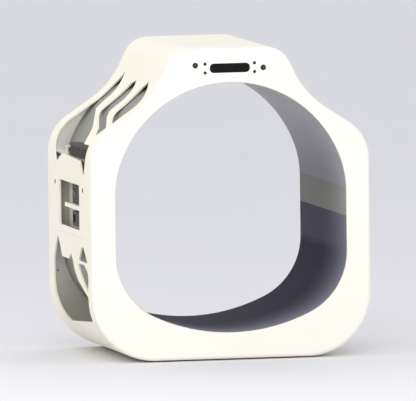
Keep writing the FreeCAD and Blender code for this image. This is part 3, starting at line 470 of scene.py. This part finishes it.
# %% Coils, magnet and board
segments = [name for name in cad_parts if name.startswith("magnet_segment")]
nickel = milled("nickel_plate", srgb(150, 149, 146), srgb(132, 131, 129), (1.0, 0.2, 1.0))
package_black = moulding(
    "package_black", srgb(30, 30, 31), srgb(24, 24, 25), 0.5, grain=700.0, depth=0.00005,
)
wear(blackened("coil_copper", srgb(196, 122, 84), srgb(224, 160, 120), 0.30), "radio_coil_conductors")
wear(lining("former_resin", srgb(176, 150, 96), srgb(160, 134, 82), 0.5), "radio_coil_former")
wear(lining("potting_resin", srgb(92, 66, 44), srgb(76, 54, 36), 0.42), "gradient_coil")
wear(nickel, *segments)
wear(milled("standoff_brass", srgb(196, 166, 96), srgb(176, 146, 80)), "board_standoffs")
wear(package_black, "board_components")
board_green = Finish("board_green")
tracks = board_green.node("TexBrick", {}, {
    "Vector": board_green.stretched(1.0, 1.0, 0.0), "Color1": srgb(22, 84, 48), "Color2": srgb(20, 76, 44),
    "Mortar": srgb(54, 122, 74), "Scale": 60.0, "Mortar Size": 0.05,
})
board_green.set(base_color=tracks, roughness=0.30 + 0.15 * board_green.noise(300.0))
wear(board_green, "control_board")
print(len(worn), "of", len(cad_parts), "CAD pieces have a finish")

# %% [markdown]
# ## Hardware that repeats
#
# Rivets, case screws, the wire guards of the fans and the ribs of the feet are one small shape set down many
# times, which is what Geometry Nodes do best. A tree takes some points or an edge to follow, sets an instance
# on each place and turns it to face outwards. It ends by making the instances real and giving them their
# material, and the result is then copied into a plain mesh, so that nothing live is left on the piece.

# %% A Geometry Nodes tree, one node at a time
class Growth:
    """A Geometry Nodes tree with named inputs."""

    def __init__(self, name, **inputs):
        self.tree = bpy.data.node_groups.new(name, "GeometryNodeTree")
        sockets = self.tree.interface
        sockets.new_socket("Geometry", in_out="INPUT", socket_type="NodeSocketGeometry")
        for label, start in inputs.items():
            kind = "NodeSocketInt" if isinstance(start, int) else "NodeSocketFloat"
            sockets.new_socket(label, in_out="INPUT", socket_type=kind).default_value = start
        sockets.new_socket("Material", in_out="INPUT", socket_type="NodeSocketMaterial")
        sockets.new_socket("Geometry", in_out="OUTPUT", socket_type="NodeSocketGeometry")
        self.given = self.tree.nodes.new("NodeGroupInput").outputs

    def node(self, kind, settings=None, sockets=None, output=0):
        """Adds a node, its settings first, then the values or links of its sockets, and returns an output."""
        made = self.tree.nodes.new(kind)
        for setting, value in (settings or {}).items():
            setattr(made, setting, value)
        for socket, value in (sockets or {}).items():
            if isinstance(value, bpy.types.NodeSocket):
                self.tree.links.new(value, made.inputs[socket])
            else:
                made.inputs[socket].default_value = value
        return made.outputs[output]

    def scaled(self, value, share):
        return self.node("ShaderNodeMath", {"operation": "MULTIPLY"}, {0: value, 1: share})

    def vector(self, x=0.0, y=0.0, z=0.0):
        return self.node("ShaderNodeCombineXYZ", {}, {0: x, 1: y, 2: z})

    def circle(self, radius, resolution):
        return self.node("GeometryNodeCurvePrimitiveCircle", {"mode": "RADIUS"}, {
            "Resolution": resolution, "Radius": radius,
        })

    def swept(self, curve, section, caps=False):
        """A wire: a curve swept by a section."""
        return self.node("GeometryNodeCurveToMesh", {}, {
            0: curve, "Profile Curve": section, "Fill Caps": caps,
        })

    def facing(self, axis, way):
        """The rotation that points one axis of an instance along a direction."""
        return self.node("FunctionNodeAlignRotationToVector", {"axis": axis}, {"Vector": way})

    def set_down(self, points, shape, rotation=None):
        """A copy of a shape on each point."""
        sockets = {"Points": points, "Instance": shape}
        if rotation:
            sockets["Rotation"] = rotation
        return self.node("GeometryNodeInstanceOnPoints", {}, sockets)

    def join(self, *parts):
        joined = self.tree.nodes.new("GeometryNodeJoinGeometry")
        for part in parts:
            self.tree.links.new(part, joined.inputs[0])
        return joined.outputs[0]

    def end(self, geometry):
        """Closes the tree: instances made real, then the material."""
        coated = self.node("GeometryNodeSetMaterial", {}, {
            "Geometry": self.node("GeometryNodeRealizeInstances", {}, {0: geometry}),
            "Material": self.given["Material"],
        })
        self.tree.links.new(coated, self.tree.nodes.new("NodeGroupOutput").inputs[0])


def grow(growth, name, points, edges, finish, body, slot, **sizes):
    """Runs a tree on points and edges, and leaves its result as a plain mesh that rides on a body."""
    seed = bpy.data.meshes.new(name + "_seed")
    seed.from_pydata(points, edges, [])
    piece = bpy.data.objects.new(name, seed)
    bpy.context.scene.collection.objects.link(piece)
    modifier = piece.modifiers.new("growth", "NODES")
    modifier.node_group = growth.tree
    values = dict(sizes, Material=finish.material)
    for item in growth.tree.interface.items_tree:
        if item.in_out == "INPUT" and item.name in values:
            modifier[item.identifier] = values[item.name]
    grown = bpy.data.meshes.new_from_object(piece.evaluated_get(bpy.context.evaluated_depsgraph_get()))
    piece.modifiers.remove(modifier)
    piece.data = grown
    bpy.data.meshes.remove(seed)
    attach(piece, body)
    print(name, "has", len(grown.polygons), "faces")


def middle_of(name):
    """The middle of a CAD piece's box."""
    return sum(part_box(name), Vector()) / 2


print("growth tools ready")

# %% [markdown]
# ## Rivets round the drum
#
# The drum is rolled sheet, closed by a row of rivets near each frame. The row follows the drum's own edge,
# which is read from the CAD mesh: the corners of the faces that look away from the bore, at one end, sorted
# round the bore's middle. The cross product of the row's direction and the Y axis points straight out of the
# drum.

# %% Read the drum's edge
SAME_PLACE = 1e-4


def edge_round(name, depth):
    """The outer edge of a CAD piece at one depth, as X and Z of points in order round the bore."""
    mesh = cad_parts[name].data
    middle = middle_of(name)
    angles = {}
    for face in mesh.polygons:
        if abs(face.normal.y) < 0.5 and face.normal.dot(face.center - middle) > 0:
            for index in face.vertices:
                corner = mesh.vertices[index].co
                if abs(corner.y - depth) < SAME_PLACE:
                    angle = math.atan2(corner.z - middle.z, corner.x)
                    angles[(round(corner.x, 5), round(corner.z, 5))] = angle
    return sorted(angles, key=angles.get)


drum_low, drum_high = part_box("magnet_drum")
drum_edge = edge_round("magnet_drum", drum_low.y)
print(len(drum_edge), "corners round the drum")

# %% Set the rivets
RIVET_INSET = 0.011

rivet_row = Growth("rivet_row", Spacing=0.06, Radius=0.003, Height=0.0014)
given = rivet_row.given
track = rivet_row.node("GeometryNodeMeshToCurve", {}, {0: given["Geometry"]})
track = rivet_row.node("GeometryNodeResampleCurve", {"mode": "LENGTH"}, {
    "Curve": track, "Length": given["Spacing"],
})
ball = rivet_row.node("GeometryNodeMeshUVSphere", {}, {
    "Segments": 10, "Rings": 6, "Radius": given["Radius"],
})
flat = rivet_row.node("ShaderNodeMath", {"operation": "DIVIDE"}, {0: given["Height"], 1: given["Radius"]})
dome = rivet_row.node("GeometryNodeTransform", {}, {
    "Geometry": ball, "Scale": rivet_row.vector(1.0, 1.0, flat),
})
outward = rivet_row.node("ShaderNodeVectorMath", {"operation": "CROSS_PRODUCT"}, {
    0: rivet_row.node("GeometryNodeInputTangent"), 1: (0.0, 1.0, 0.0),
})
rivet_row.end(rivet_row.set_down(track, dome, rivet_row.facing("Z", outward)))
rivet_steel = blackened("rivet_steel", srgb(150, 150, 150), srgb(190, 190, 192), 0.4)
ring = [(number, (number + 1) % len(drum_edge)) for number in range(len(drum_edge))]
for name, depth in (("front_rivets", drum_low.y + RIVET_INSET), ("rear_rivets", drum_high.y - RIVET_INSET)):
    places = [(x, depth, z) for x, z in drum_edge]
    grow(rivet_row, name, places, ring, rivet_steel, "gantry", "drum_metal")

# %% [markdown]
# ## Wire guards for the fans
#
# Behind each group of slots in the rear cover a welded wire guard keeps fingers out of the blades. It is
# three rings and two spokes of the same wire. Each ring is a circle swept by a small circle, and the spokes
# are the same sweep along a straight line.

# %% Bend the guards
RING_SHARES = (1.0, 0.68, 0.36)
GUARD_GAP = 0.0009

guard_tree = Growth("fan_guard", Radius=0.0215, Wire=0.0008)
given = guard_tree.given
section = guard_tree.circle(given["Wire"], 8)
wires = [
    guard_tree.swept(guard_tree.circle(guard_tree.scaled(given["Radius"], share), 48), section)
    for share in RING_SHARES
]
back = guard_tree.scaled(given["Radius"], -1.0)
for start, end in (((given["Radius"], 0.0), (back, 0.0)), ((0.0, given["Radius"]), (0.0, back))):
    spoke = guard_tree.node("GeometryNodeCurvePrimitiveLine", {}, {
        "Start": guard_tree.vector(*start, given["Wire"]), "End": guard_tree.vector(*end, given["Wire"]),
    })
    wires.append(guard_tree.swept(spoke, section, caps=True))
guard = guard_tree.node("GeometryNodeTransform", {}, {
    "Geometry": guard_tree.join(*wires), "Rotation": (math.radians(-90), 0.0, 0.0),
})
guard_tree.end(guard_tree.set_down(given["Geometry"], guard))
guard_wire = milled("guard_wire", srgb(190, 192, 195), srgb(168, 170, 174), (1.0, 1.0, 1.0), 0.3)
guard_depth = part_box("rear_frame")[1].y + GUARD_GAP
rotors = [middle_of(name) for name in ("left_fan_rotor", "right_fan_rotor")]
places = [(rotor.x, guard_depth, rotor.z) for rotor in rotors]
grow(guard_tree, "fan_guards", places, [], guard_wire, "gantry", "rail_metal")

# %% [markdown]
# ## Screws of the equipment cases
#
# The power supply and the amplifier are pressed cases closed by small screws. A head is a disc that is
# raised, drawn in for its rounded edge, drawn in again and pushed down for its socket: four extrusions of the
# same faces. A second disc, turned over, closes it underneath. The power supply's screws face the left, and
# the amplifier's face the right.

# %% Turn the case screws
HEAD_STEPS = ((0.7, 1.0), (0.3, 0.8), (0.0, 0.55), (-0.6, 0.92))
MERGE_DISTANCE = 0.00001
TOP_INSET, END_INSET = 0.0035, 0.004
TO_LEFT, TO_RIGHT = -math.pi / 2, math.pi / 2

screw_tree = Growth("case_screw", Radius=0.0026, Height=0.0016, Turn=TO_LEFT)
given = screw_tree.given
disc = screw_tree.node("GeometryNodeMeshCircle", {"fill_type": "NGON"}, {
    "Vertices": 14, "Radius": given["Radius"],
})
head, chosen = disc, None
for rise, share in HEAD_STEPS:
    sockets = {"Mesh": head, "Offset Scale": screw_tree.scaled(given["Height"], rise), "Individual": False}
    if chosen:
        sockets["Selection"] = chosen
    head = screw_tree.node("GeometryNodeExtrudeMesh", {"mode": "FACES"}, sockets)
    chosen = head.node.outputs["Top"]
    head = screw_tree.node("GeometryNodeScaleElements", {"domain": "FACE"}, {
        "Geometry": head, "Selection": chosen, "Scale": share,
    })
base = screw_tree.node("GeometryNodeFlipFaces", {}, {"Mesh": disc})
head = screw_tree.node("GeometryNodeMergeByDistance", {}, {
    "Geometry": screw_tree.join(head, base), "Distance": MERGE_DISTANCE,
})
turned_head = screw_tree.set_down(given["Geometry"], head, screw_tree.vector(0.0, given["Turn"], 0.0))
screw_tree.end(turned_head)
case_steel = blackened("case_screw_steel", srgb(120, 120, 122), srgb(176, 176, 178), 0.34)
for name, node, turn in (
    ("supply_case_screws", "power_supply", TO_LEFT), ("amplifier_case_screws", "radio_amplifier", TO_RIGHT),
):
    low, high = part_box(node)
    face = low.x if turn == TO_LEFT else high.x
    along_case = (low.y + END_INSET, (low.y + high.y) / 2, high.y - END_INSET)
    places = [(face, y, high.z - TOP_INSET) for y in along_case]
    grow(screw_tree, name, places, [], case_steel, "gantry", "small_screw_steel", Turn=turn)

# %% [markdown]
# ## Ribs of the feet
#
# A rubber foot grips through fine upright ribs moulded round its edge. One rib is a small block on a circle
# of points, turned so that its X axis follows the radius, and the whole ring is set down again at each foot.

# %% Mould the ribs
rib_tree = Growth("foot_ribs", Ribs=60, Radius=0.03, Height=0.003, Rib=0.0008)
given = rib_tree.given
circle = rib_tree.node("GeometryNodeMeshCircle", {}, {"Vertices": given["Ribs"], "Radius": given["Radius"]})
rib = rib_tree.node("GeometryNodeMeshCube", {}, {
    "Size": rib_tree.vector(given["Rib"], rib_tree.scaled(given["Rib"], 1.5), given["Height"]),
})
out = rib_tree.facing("X", rib_tree.node("GeometryNodeInputPosition"))
rib_tree.end(rib_tree.set_down(given["Geometry"], rib_tree.set_down(circle, rib, out)))
rubber = moulding("rib_rubber", srgb(40, 40, 40), srgb(30, 30, 30), 0.75, **PITTED)
grow(rib_tree, "foot_ribs", [tuple(middle_of(name)) for name in feet], [], rubber, "gantry", "foot_rubber")
